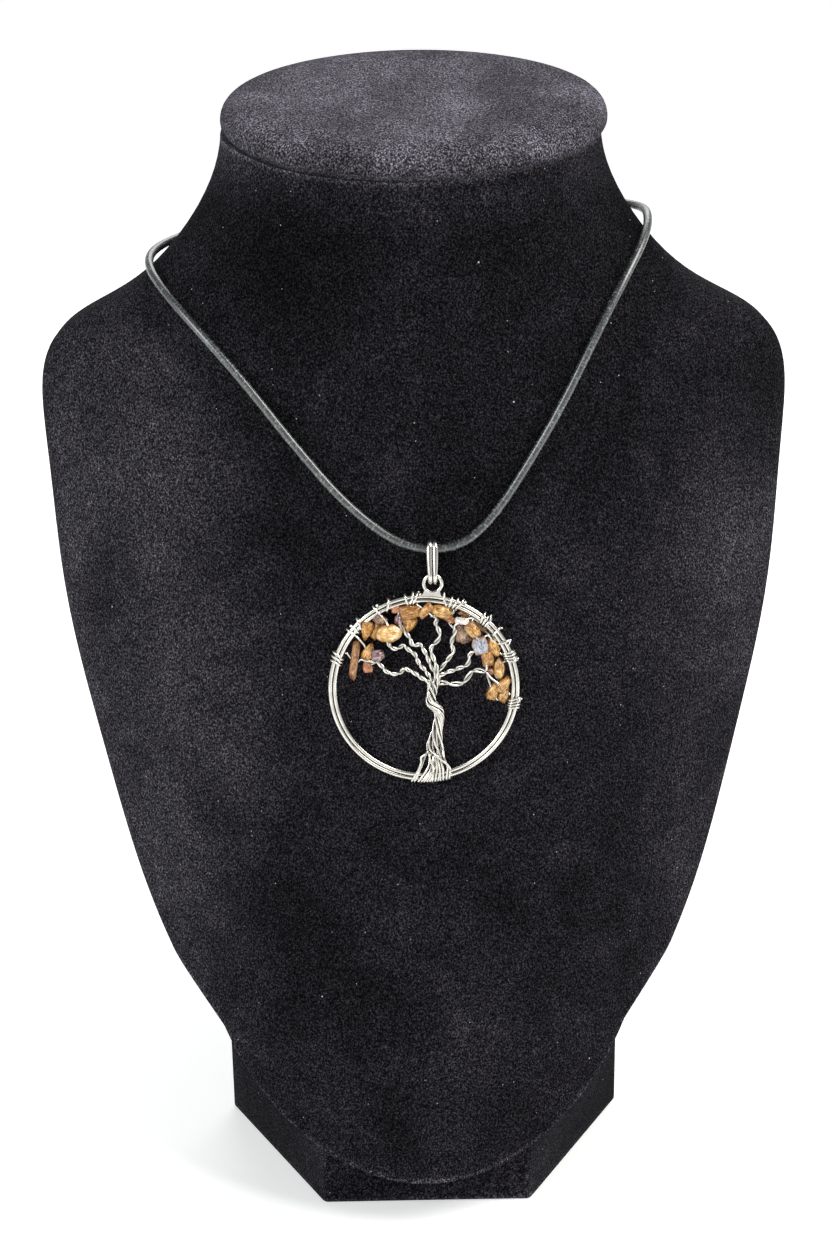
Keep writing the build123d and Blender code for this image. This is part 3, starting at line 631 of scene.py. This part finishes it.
# wraps on the hoop: each turn by the angle of its outer bend and of its inner bend
def coil(bends, start_in, lift):
    """Turns of wire round the hoop, slanting over its front from each outer bend to its inner one."""
    line = [polar(start_in, R_IN - 0.1, -0.45), polar(start_in, R_IN + 0.5, -CLEAR)]
    for i, (outer, inner) in enumerate(bends):
        high = lift * (0.6 + 0.4 * math.sin(3.1 * outer))
        line += [
            polar(outer - 0.2, R_OUT - 0.5, -CLEAR), polar(outer, R_OUT + WIRE / 2 + high, -0.1),
            polar(outer * 0.85 + inner * 0.15, R_OUT - 0.2, 0.86), polar((outer + inner) / 2, 23.7, CLEAR + 0.03),
            polar(outer * 0.15 + inner * 0.85, R_IN + 0.3, 0.9), polar(inner, R_IN - WIRE / 2 - 0.03, 0.0),
        ]
        if i + 1 < len(bends):
            line.append(polar((inner * 2 + bends[i + 1][0]) / 3, R_IN + 0.5, -CLEAR))
    return line


COILS = [
    # bends (outer, inner) in degrees, angle where the wire starts, lift
    ([(156.4, 159.1), (158.9, 161.3), (161.4, 163.2)], 156.8, 0.25),
    ([(140.7, 140.4), (137.3, 137.9), (132.2, 135.3)], 142.5, 0.35),
    ([(120.3, 118.9)], 121.8, 0.4),
    ([(110.5, 114.4)], 109.6, 0.45),
    ([(100.5, 99.8), (95.6, 98.4), (93.1, 96.6)], 102.0, 0.45),
    ([(77.6, 74.4), (72.4, 72.6), (68.8, 70.4), (65.7, 68.2)], 78.8, 0.5),
    ([(50.9, 49.4), (48.2, 47.6), (45.8, 45.8)], 52.4, 0.4),
    ([(38.6, 37.6)], 40.0, 0.4),
    ([(29.4, 31.0)], 28.3, 0.6),
    ([(22.3, 23.4), (20.4, 21.7), (18.5, 20.0), (16.5, 18.3)], 23.6, 0.15),
    ([(-6.4, -9.1), (-8.5, -10.9), (-10.5, -12.5), (-12.4, -14.1)], -7.2, 0.15),
]
for bends, start_in, lift in COILS:
    tree.add(smooth_line(coil(bends, start_in, lift), 0.2), WIRE / 2, sides=12)
# cut ends that come over the hoop's edge to its front, by angle
for angle in (137.3, 117.7, 20.9, 64.0):
    tree.add(smooth_line([polar(angle, R_OUT - 0.6, -CLEAR), polar(angle, R_OUT + 0.35, -0.5),
                          polar(angle, R_OUT + 0.45, 0.2), polar(angle + 0.3, R_OUT + 0.35, 0.95)], 0.2),
             WIRE / 2, sides=12)
# cut ends that stand out from the hoop: angle, height, skew in degrees and place to the front
STANDING = [
    (46.9, 1.2, 1.5, 0.4), (38.0, 1.0, -1.3, 0.2), (28.6, 1.1, 1.4, 0.2), (17.4, 0.9, -0.7, 0.2),
    (-7.4, 0.8, 1.0, 0.2), (92.0, 0.9, 0.8, 0.3),
]
for angle, high, skew, out in STANDING:
    tree.add(smooth_line([polar(angle - skew, R_OUT - 0.6, CLEAR), polar(angle - skew * 0.6, R_OUT + 0.1, 0.8),
                          polar(angle, R_OUT + high * 0.6, out), polar(angle + skew * 0.5, R_OUT + high, out - 0.1)],
                         0.2), WIRE / 2 * 0.92, sides=10)

# chips: place, length, width and thickness in shares, turn in degrees, outline, stone
CHIPS = {
    "chip_01": (-0.718, 0.316, 0.00, 0.39, 0.080, 0.08, 82, "stick", "brown"),
    "chip_02": (-0.588, 0.248, 0.00, 0.130, 0.105, 0.08, 100, "tear", "red"),
    "chip_03": (-0.566, 0.402, 0.00, 0.190, 0.135, 0.08, 66, "wedge", "brown"),
    "chip_04": (-0.480, 0.368, 0.035, 0.140, 0.120, 0.10, 12, "oval", "purple"),
    "chip_05": (-0.596, 0.624, 0.01, 0.205, 0.140, 0.08, 258, "wedge", "amber"),
    "chip_06": (-0.493, 0.618, -0.02, 0.200, 0.075, 0.07, 66, "stick", "brown"),
    "chip_07": (-0.445, 0.740, 0.01, 0.135, 0.105, 0.08, -30, "block", "dark"),
    "chip_08": (-0.358, 0.604, 0.06, 0.265, 0.175, 0.11, 6, "oval", "honey"),
    "chip_09": (-0.275, 0.845, 0.00, 0.105, 0.080, 0.07, 20, "oval", "red"),
    "chip_10": (-0.252, 0.736, 0.00, 0.112, 0.088, 0.08, 80, "oval", "purple"),
    "chip_11": (-0.128, 0.815, 0.02, 0.232, 0.150, 0.10, 188, "slab", "amber"),
    "chip_12": (-0.144, 0.688, -0.01, 0.170, 0.155, 0.09, 262, "wedge", "amber"),
    "chip_13": (0.030, 0.834, 0.04, 0.182, 0.095, 0.08, 42, "block", "amber"),
    "chip_14": (0.192, 0.815, 0.01, 0.262, 0.132, 0.08, -17, "oval", "honey"),
    "chip_15": (0.278, 0.722, -0.03, 0.115, 0.070, 0.06, -20, "oval", "red"),
    "chip_16": (0.395, 0.716, 0.055, 0.135, 0.058, 0.06, -8, "stick", "pale"),
    "chip_17": (0.414, 0.580, -0.01, 0.225, 0.165, 0.09, 94, "spade", "dark"),
    "chip_18": (0.440, 0.765, -0.035, 0.160, 0.060, 0.06, -34, "stick", "brown"),
    "chip_19": (0.514, 0.622, 0.045, 0.165, 0.125, 0.09, -52, "block", "honey"),
    "chip_20": (0.590, 0.640, -0.045, 0.165, 0.070, 0.06, -42, "stick", "brown"),
    "chip_21": (0.592, 0.450, 0.02, 0.190, 0.155, 0.10, 105, "block", "grey"),
    "chip_22": (0.730, 0.424, 0.00, 0.200, 0.112, 0.08, -64, "oval", "honey"),
    "chip_23": (0.668, 0.313, 0.01, 0.165, 0.122, 0.08, 100, "block", "amber"),
    "chip_24": (0.786, 0.195, 0.01, 0.215, 0.110, 0.08, 88, "oval", "honey"),
    "chip_25": (0.702, 0.165, -0.01, 0.085, 0.075, 0.06, 0, "oval", "red"),
    "chip_26": (0.832, 0.030, 0.035, 0.190, 0.115, 0.08, 48, "tear", "honey"),
    "chip_27": (0.720, -0.042, 0.01, 0.180, 0.120, 0.09, 75, "tear", "honey"),
    "chip_28": (0.837, -0.077, -0.01, 0.170, 0.117, 0.08, 65, "tear", "honey"),
}
# outlines of the chips, once round, in halves of the length and of the width
OUTLINES = {
    "stick": [(-1, -0.7), (-0.85, 1), (0.9, 0.95), (1, -0.3), (0.8, -1), (-0.6, -0.95)],
    "oval": [(-1, -0.3), (-0.9, 0.5), (-0.3, 1), (0.5, 0.9), (1, 0.2), (0.85, -0.6), (0.2, -1), (-0.6, -0.8)],
    "wedge": [(-1, -0.75), (-0.95, 0.8), (-0.4, 1), (0.85, 0.35), (1, -0.1), (-0.3, -1)],
    "slab": [(-1, -0.55), (-0.8, 0.75), (0.75, 1), (1, -0.85), (0.2, -1)],
    "block": [(-1, -0.7), (-0.9, 0.85), (0.3, 1), (1, 0.6), (0.9, -0.85), (-0.2, -1)],
    "spade": [(-1, 0.05), (-0.72, 1), (0.5, 0.72), (1, 0.55), (1, -0.55), (0.4, -0.8), (-0.72, -1)],
    "tear": [(-1, -0.75), (-1, 0.65), (-0.3, 1), (0.6, 0.7), (1, 0.2), (0.9, -0.35), (-0.1, -1)],
}
# chips whose look differs from their kind's
LOOKS = {"chip_03": "amber", "chip_06": "amber", "chip_08": "cream"}
# strands: places in shares or chips on the way, then the angle where each one meets the hoop
STRANDS = [
    ([(-0.52, 0.305, 0.03), (-0.60, 0.315, 0.045), (-0.655, 0.326, 0.03), "chip_01", (-0.80, 0.39, 0.0)], 154.5),
    ([(-0.50, 0.285, 0.0), "chip_02"], None),
    (["chip_04", "chip_03", (-0.62, 0.485, 0.03), (-0.695, 0.575, 0.035)], 140.4),
    ([(-0.40, 0.50, -0.03), "chip_06", "chip_05", (-0.66, 0.66, 0.0)], 135.3),
    ([(-0.37, 0.50, 0.0), "chip_08", (-0.383, 0.725, 0.035), (-0.436, 0.79, 0.045)], 118.9),
    ([(-0.40, 0.62, -0.03), "chip_07", (-0.50, 0.79, 0.0)], 121.0),
    ([(-0.245, 0.69, 0.0), "chip_10", "chip_09"], 111.0),
    ([(-0.17, 0.58, -0.02), "chip_12", "chip_11"], 98.0),
    ([(0.10, 0.77, 0.02), "chip_13"], 94.5),
    ([(0.08, 0.76, -0.01), "chip_14", (0.31, 0.80, 0.02)], 69.0),
    ([(0.33, 0.62, -0.01), "chip_15"], 67.5),
    ([(0.33, 0.62, 0.03), (0.325, 0.67, 0.05), "chip_16", (0.47, 0.74, 0.03)], 55.0),
    ([(0.34, 0.52, -0.02), "chip_17", (0.41, 0.73, -0.03), "chip_18"], 57.0),
    ([(0.54, 0.39, 0.0), "chip_21", "chip_19", (0.52, 0.73, 0.0)], 49.0),
    ([(0.50, 0.72, -0.04), "chip_20", (0.66, 0.58, -0.03), (0.72, 0.53, -0.02)], 33.0),
    ([(0.635, 0.545, 0.035), (0.665, 0.565, 0.045), (0.70, 0.53, 0.03), "chip_22"], 22.0),
    ([(0.64, 0.16, 0.0), (0.655, 0.20, 0.02), "chip_23", (0.72, 0.385, -0.03)], 27.5),
    ([(0.64, 0.16, -0.01), "chip_25", (0.76, 0.10, -0.02), (0.80, 0.08, -0.01), "chip_24"], 18.5),
    ([(0.65, 0.165, 0.01), (0.70, 0.105, 0.03), (0.765, 0.055, 0.04), "chip_26"], 5.0),
    ([(0.66, 0.13, -0.01), "chip_27", (0.77, -0.14, -0.01), "chip_28"], -5.5),
]

holes = {}


def strand(route, angle):
    """A wire's points through its chips to the hoop; each chip's drilling is kept in holes."""
    centres = [at(*(CHIPS[q][:3] if isinstance(q, str) else q)) for q in route]
    if angle is not None:
        centres.append(polar(angle, R_IN - 0.2))
    points = []
    for i, stop in enumerate(route):
        here = centres[i]
        if not isinstance(stop, str):
            points.append(here)
            continue
        before = centres[i - 1] if i else here * 2 - centres[i + 1]
        after = centres[i + 1] if i + 1 < len(centres) else here * 2 - before
        holes[stop] = (after - before).normalized()
        points += [here - holes[stop], here + holes[stop]]
    if angle is not None:
        points.append(centres[-1])
    return points


for route, angle in STRANDS:
    tree.add(smooth_line(strand(route, angle), 0.25), WIRE / 2 * 0.85, sides=8)

tree_obj = tree.build("tree_twist")
dress(tree_obj, wire_mat)
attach(tree_obj, "pendant")
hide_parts("tree_wires")

# half of a chip's stated length or width, made a little fuller
CHIP_HALF = 0.535
# how crisply the faces of a chip meet
CHIP_CRISP = 20
# radius of a chip's drilling, and how deep its mouth is worn
HOLE, HOLE_DEEP = 0.5, 0.35


def chip_planes(r, half, shape):
    """The faces that bound a chip, as directions and reaches: its sides, their bevels, top and back."""
    outline = [((x + r.uniform(-0.08, 0.08)) * half[0], (y + r.uniform(-0.08, 0.08)) * half[1])
               for x, y in OUTLINES[shape]]
    planes = []
    for (x0, y0), (x1, y1) in zip(outline, outline[1:] + outline[:1]):
        out = Vector((y1 - y0, x0 - x1, 0)).normalized()
        if out.dot(Vector((x0, y0, 0))) < 0:
            out = -out
        reach = out.dot(Vector((x0, y0, 0)))
        tilt = r.uniform(-0.35, 0.35)
        planes.append((Vector((out.x, out.y, tilt)).normalized(), reach))
        bevel = Vector((out.x, out.y, r.uniform(0.9, 1.3)))
        planes.append((bevel.normalized(), (reach * 0.80 + half[2] * bevel.z * 0.62) / bevel.length))
    for side in (1, -1):
        face = Vector((r.uniform(-0.12, 0.12), r.uniform(-0.2, 0.2), side))
        planes.append((face.normalized(), half[2]))
    return planes


def make_chip(name, seed):
    """A tumbled chip: a rounded slab of its own outline with worn bevels, drilled for its wire."""
    u, v, o, length, width, thick, turned, shape, kind = CHIPS[name]
    r = random.Random(seed)
    half = (length * RADIUS * CHIP_HALF, width * RADIUS * CHIP_HALF, thick * RADIUS / 2)
    planes = chip_planes(r, half, shape)
    bm = bmesh.new()
    bmesh.ops.create_icosphere(bm, subdivisions=5 if length * width > 0.02 else 4, radius=1.0)
    grain = bm.verts.layers.float_vector.new("grain")
    edge = bm.verts.layers.float.new("edge")
    turn = math.radians(turned)
    x_dir = ACROSS * math.cos(turn) + UP * math.sin(turn)
    y_dir = OUT.cross(x_dir)
    here, drilling = at(u, v, o), holes[name]
    shift = Vector((r.uniform(-9, 9), r.uniform(-9, 9), r.uniform(-9, 9)))
    roughen = 0.05 if kind == "dark" else 0.018
    for vert in bm.verts:
        d = Vector((vert.co.x * half[0], vert.co.y * half[1], vert.co.z * half[2])).normalized()
        total = sum(max(0.0, n.dot(d) / reach) ** CHIP_CRISP for n, reach in planes)
        p = d * total ** (-1 / CHIP_CRISP)
        p *= 1 + roughen * noise.noise(p * 1.1 + shift) * 2 + roughen * noise.noise(p * 3.1 + shift)
        q = x_dir * p.x + y_dir * p.y + OUT * p.z
        axial = q.dot(drilling)
        radial = (q - drilling * axial).length
        if radial < HOLE:
            deep = min((1 - radial / HOLE) ** 0.5 * HOLE_DEEP, abs(axial))
            q -= drilling * math.copysign(deep, axial)
        vert[grain] = p + shift
        vert[edge] = min(1.0, math.hypot(p.x / half[0], p.y / half[1]))
        vert.co = (here + q) * MM
    mesh = bpy.data.meshes.new(name + "_stone")
    bm.to_mesh(mesh)
    bm.free()
    mesh.polygons.foreach_set("use_smooth", [True] * len(mesh.polygons))
    obj = link(name + "_stone", mesh)
    dress(obj, stone_mats[LOOKS.get(name, kind)])
    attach(obj, "pendant")
    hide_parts(name)


FIRST_SEED = 100
for number, name in enumerate(CHIPS):
    make_chip(name, FIRST_SEED + number)

# bail: two tapered wires side by side, from the middle of the cord, which they hang on
BAIL_TOP = Vector((3.7, -33.027, 187.0))
BAIL_LEAN = math.radians(22)
BAIL_UP = Vector((0, math.sin(BAIL_LEAN), math.cos(BAIL_LEAN)))
BAIL_OUT = Vector((0, -math.cos(BAIL_LEAN), math.sin(BAIL_LEAN)))
# radius of the loop's middle line at the top and at the foot, and the length between them
TOP_R, FOOT_R, LENGTH = 2.10, 1.865, 6.7
# half the depth of a wire at the top and at the foot
TOP_DEPTH, FOOT_DEPTH = 0.62, 0.76
# half the width of one wire, by its height as a share of the bail's
BAIL_WIDTH = [(0.0, 0.58), (0.09, 0.66), (0.27, 0.80), (0.44, 0.785), (0.66, 0.735), (0.75, 0.69), (0.93, 0.60),
              (1.0, 0.54)]


def bail_loop():
    """The bail's middle line as height and depth from the cord's centre, once round."""
    line = [(TOP_R * math.cos(a), TOP_R * math.sin(a)) for a in np.linspace(math.pi / 2, -math.pi / 2, 25)]
    line += [(-LENGTH * t, -(TOP_R + (FOOT_R - TOP_R) * t)) for t in np.linspace(0, 1, 14)[1:-1]]
    line += [(-LENGTH + FOOT_R * math.cos(a), FOOT_R * math.sin(a))
             for a in np.linspace(-math.pi / 2, -3 * math.pi / 2, 25)]
    line += [(-LENGTH * (1 - t), FOOT_R + (TOP_R - FOOT_R) * t) for t in np.linspace(0, 1, 14)[1:-1]]
    return line


BAIL_HIGH, BAIL_LOW = TOP_R + TOP_DEPTH, -LENGTH - FOOT_R - FOOT_DEPTH
BAIL_SIDES = 20


def bail_rings(loop, side):
    """Rings of one of the bail's wires, and the run along it at each."""
    rings, runs, run = [], [], 0.0
    for i, (up, out) in enumerate(loop):
        (up0, out0), (up1, out1) = loop[i - 1], loop[(i + 1) % len(loop)]
        run += math.hypot(up - up0, out - out0) if i else 0.0
        runs.append(run)
        normal = (BAIL_UP * (out1 - out0) - BAIL_OUT * (up1 - up0)).normalized()
        wide = between(BAIL_WIDTH, (BAIL_HIGH - up) / (BAIL_HIGH - BAIL_LOW), 1)
        share = max(0.0, min(1.0, -up / LENGTH))
        deep = TOP_DEPTH + (FOOT_DEPTH - TOP_DEPTH) * share
        centre = BAIL_TOP + ACROSS * (side * (wide - 0.02)) + BAIL_UP * up + BAIL_OUT * out
        turns = [2 * math.pi * k / BAIL_SIDES for k in range(BAIL_SIDES)]
        rings.append([centre + ACROSS * (wide * math.cos(w)) + normal * (deep * math.sin(w)) for w in turns])
    return rings, runs


bail_tubes = Tubes()
for side in (-1, 1):
    bail_tubes.rings(*bail_rings(bail_loop(), side), closed=True)
bail = bail_tubes.build("bail_wires")
dress(bail, metal_mat)
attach(bail, "bail")
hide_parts("bail")

# cap: an oval pad with a softly rounded top edge, on its slanted seat
CAP_HALF = (50.7, 43.0)
# inset from the outline and height over the middle, from the underside up
CAP_PROFILE = [
    (14.0, -4.5), (1.6, -4.5), (1.5, -3.6), (0.9, -3.35), (0.4, -3.0), (0.08, -2.4), (0.0, -1.6), (0.05, -0.8),
    (0.25, 0.1), (0.65, 1.0), (1.3, 1.9), (2.2, 2.7), (3.4, 3.35), (5.0, 3.9), (7.0, 4.3), (9.5, 4.55), (13.0, 4.7),
    (18.0, 4.8), (25.0, 4.85), (33.0, 4.9), (41.0, 4.9),
]
CAP_SIDES = 96


def cap_ring(inset, high):
    """The cap's oval outline, drawn in by the inset, at a height over its middle."""
    a_half, b_half = CAP_HALF[0] - inset, CAP_HALF[1] - inset
    return [CAP_MIDDLE + ACROSS * (a_half * math.cos(a)) + CAP_BACK * (b_half * math.sin(a)) + CAP_UP * high
            for a in np.linspace(0, 2 * math.pi, CAP_SIDES, endpoint=False)]


cap_tubes = Tubes()
cap_tubes.rings([cap_ring(inset, high) for inset, high in CAP_PROFILE], [high for _, high in CAP_PROFILE])
cap = cap_tubes.build("cap_pad")
dress(cap, cap_mat)
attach(cap, "display")
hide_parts("neck_cap")

# floor: pale, with a soft glow of its own that is weaker close to the base
FLOOR_REACH = 60
GLOW_NEAR, GLOW_FAR = 0.16, 0.60
GLOW_AT_NEAR, GLOW_AT_FAR = 0.36, 0.69
floor_mesh = bpy.data.meshes.new("floor")
floor_mesh.from_pydata([(x * FLOOR_REACH, y * FLOOR_REACH, 0) for x, y in ((-1, -1), (1, -1), (1, 1), (-1, 1))],
                       [], [(0, 1, 2, 3)])
floor = link("floor", floor_mesh)
floor_mat, floor_tree, floor_shader = new_material("floor")
floor_shader.inputs["Base Color"].default_value = (0.86, 0.87, 0.86, 1.0)
floor_shader.inputs["Roughness"].default_value = 1.0
floor_shader.inputs["Specular IOR Level"].default_value = 0.0
floor_shader.inputs["Emission Color"].default_value = (1.0, 1.0, 1.0, 1.0)
floor_place = node(floor_tree, "ShaderNodeTexCoord").outputs["Object"]
floor_far = node(floor_tree, "ShaderNodeVectorMath", {0: floor_place}, operation="LENGTH").outputs["Value"]
floor_glow = spread(floor_tree, floor_far, GLOW_NEAR, GLOW_FAR, GLOW_AT_NEAR, GLOW_AT_FAR)
floor_tree.links.new(floor_glow, floor_shader.inputs["Emission Strength"])
dress(floor, floor_mat)

# studio: light from low down all round, darker overhead
world = bpy.data.worlds.new("world")
bpy.context.scene.world = world
world.use_nodes = True
sky = world.node_tree
height = node(sky, "ShaderNodeSeparateXYZ", {"Vector": node(sky, "ShaderNodeTexCoord").outputs["Generated"]})
tone = ramp(sky, height.outputs["Z"], [(0.0, (0.85, 0.85, 0.85)), (0.16, (0.85, 0.85, 0.86)),
                                       (0.42, (0.28, 0.28, 0.29)), (0.95, (0.32, 0.32, 0.32))])
sky.links.new(tone, sky.nodes["Background"].inputs["Color"])
sky.nodes["Background"].inputs["Strength"].default_value = 1.0


def area_light(name, place, target, size, power, colour=(1, 1, 1)):
    data = bpy.data.lights.new(name, "AREA")
    data.energy = power
    data.size = size
    data.color = colour
    obj = bpy.data.objects.new(name, data)
    bpy.context.scene.collection.objects.link(obj)
    obj.location = place
    obj.rotation_euler = (Vector(target) - Vector(place)).to_track_quat("-Z", "Y").to_euler()


# name, place and target in metres, size, power and colour
area_light("key", (0.85, -0.35, 1.15), (0, 0, 0.15), 0.7, 16.0, (1.0, 0.985, 0.96))
area_light("fill", (-0.95, -0.85, 0.9), (0, 0, 0.15), 0.65, 11.5, (0.96, 0.98, 1.0))
area_light("back", (0.1, 0.9, 1.1), (0, 0, 0.2), 0.8, 6.0)

bpy.context.scene.view_settings.view_transform = "Standard"
